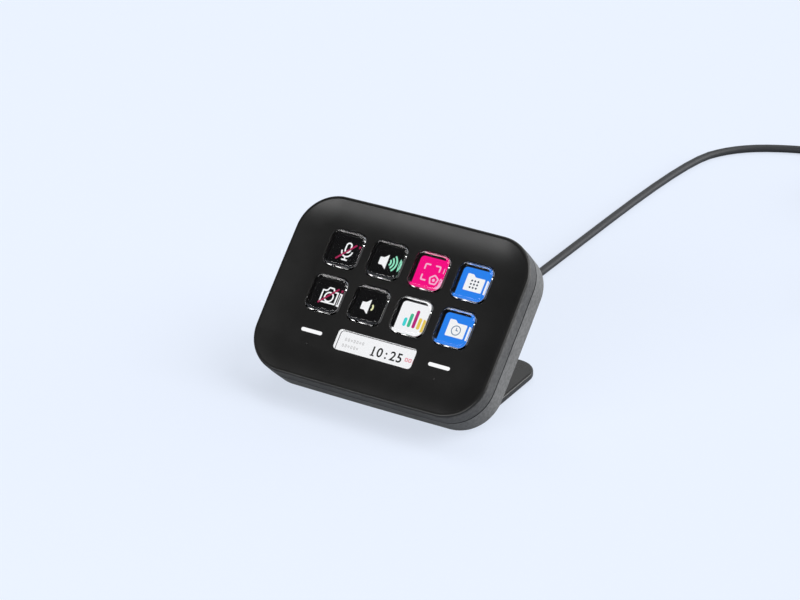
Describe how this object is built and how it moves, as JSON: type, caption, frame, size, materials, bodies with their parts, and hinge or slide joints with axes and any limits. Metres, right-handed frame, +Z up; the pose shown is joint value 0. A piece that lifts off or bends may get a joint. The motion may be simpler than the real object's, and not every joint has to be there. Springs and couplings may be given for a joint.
{
  "type": "display keypad",
  "caption": "Desk keypad: clear sprung display keys, an info bar and touch bars in a dished slab, on a bent plate stand, with a captive USB cable",
  "frame": {"origin": "on the desk, under the middle of the keypad and its stand", "axes": "+Z up, +X to the right, the keys face -Y and up at 45 degrees"},
  "size_m": [0.1907, 0.3255, 0.0667],
  "materials": {
    "faceplate_black": "fine matt texture",
    "shell_grey": "fine matt texture",
    "window_clear": "clear, polished",
    "pad_rubber": "matt",
    "cable_black": "matt",
    "tie_rubber": "fine ribs",
    "plug_black": "fine matt texture",
    "plug_steel": "nickel plated",
    "tongue_black": "moulded",
    "mat_silicone": "matt",
    "panel_glass": "gloss",
    "diffuser_white": "matt",
    "tray_steel": "stamped sheet",
    "flex_amber": "satin",
    "brass": "turned",
    "board_green": "solder mask",
    "chip_black": "moulded",
    "connector_cream": "moulded",
    "screw_steel": "zinc plated",
    "electrode_copper": "etched foil",
    "light_pipe": "clear-white, polished",
    "key_clear": "clear, polished"
  },
  "bodies": {
    "body": {"faceplate": "faceplate_black", "front_shell": "shell_grey", "back_shell": "shell_grey", "infobar_window": "window_clear", "stand": "shell_grey", "foot_pads": "pad_rubber", "strain_relief": "cable_black", "cable_run": "cable_black", "cable_coil": "cable_black", "cable_tail": "cable_black", "cable_tie": "tie_rubber", "plug_grip": "plug_black", "plug_shell": "plug_steel", "plug_tongue": "tongue_black", "key_mat": "mat_silicone", "lcd_panel": "panel_glass", "backlight": "diffuser_white", "lcd_tray": "tray_steel", "display_flex": "flex_amber", "board_spacers": "brass", "main_board": "board_green", "board_chips": "chip_black", "board_connectors": "connector_cream", "board_screws": "screw_steel", "case_screws": "screw_steel", "stand_screws": "screw_steel", "touch_electrodes": "electrode_copper", "touch_light_left": "light_pipe", "touch_light_right": "light_pipe"},
    "key_1_1": {"key_cap_1_1": "key_clear"},
    "key_1_2": {"key_cap_1_2": "key_clear"},
    "key_1_3": {"key_cap_1_3": "key_clear"},
    "key_1_4": {"key_cap_1_4": "key_clear"},
    "key_2_1": {"key_cap_2_1": "key_clear"},
    "key_2_2": {"key_cap_2_2": "key_clear"},
    "key_2_3": {"key_cap_2_3": "key_clear"},
    "key_2_4": {"key_cap_2_4": "key_clear"}
  },
  "joints": [
    {"name": "press_1_1", "type": "slide", "parent": "body", "child": "key_1_1", "axis": [0, 0.7071, -0.7071], "range_m": [0, 0.001], "stiffness_N_per_m": 600, "springref_m": -0.0005},
    {"name": "press_1_2", "type": "slide", "parent": "body", "child": "key_1_2", "axis": [0, 0.7071, -0.7071], "range_m": [0, 0.001], "stiffness_N_per_m": 600, "springref_m": -0.0005},
    {"name": "press_1_3", "type": "slide", "parent": "body", "child": "key_1_3", "axis": [0, 0.7071, -0.7071], "range_m": [0, 0.001], "stiffness_N_per_m": 600, "springref_m": -0.0005},
    {"name": "press_1_4", "type": "slide", "parent": "body", "child": "key_1_4", "axis": [0, 0.7071, -0.7071], "range_m": [0, 0.001], "stiffness_N_per_m": 600, "springref_m": -0.0005},
    {"name": "press_2_1", "type": "slide", "parent": "body", "child": "key_2_1", "axis": [0, 0.7071, -0.7071], "range_m": [0, 0.001], "stiffness_N_per_m": 600, "springref_m": -0.0005},
    {"name": "press_2_2", "type": "slide", "parent": "body", "child": "key_2_2", "axis": [0, 0.7071, -0.7071], "range_m": [0, 0.001], "stiffness_N_per_m": 600, "springref_m": -0.0005},
    {"name": "press_2_3", "type": "slide", "parent": "body", "child": "key_2_3", "axis": [0, 0.7071, -0.7071], "range_m": [0, 0.001], "stiffness_N_per_m": 600, "springref_m": -0.0005},
    {"name": "press_2_4", "type": "slide", "parent": "body", "child": "key_2_4", "axis": [0, 0.7071, -0.7071], "range_m": [0, 0.001], "stiffness_N_per_m": 600, "springref_m": -0.0005}
  ]
}
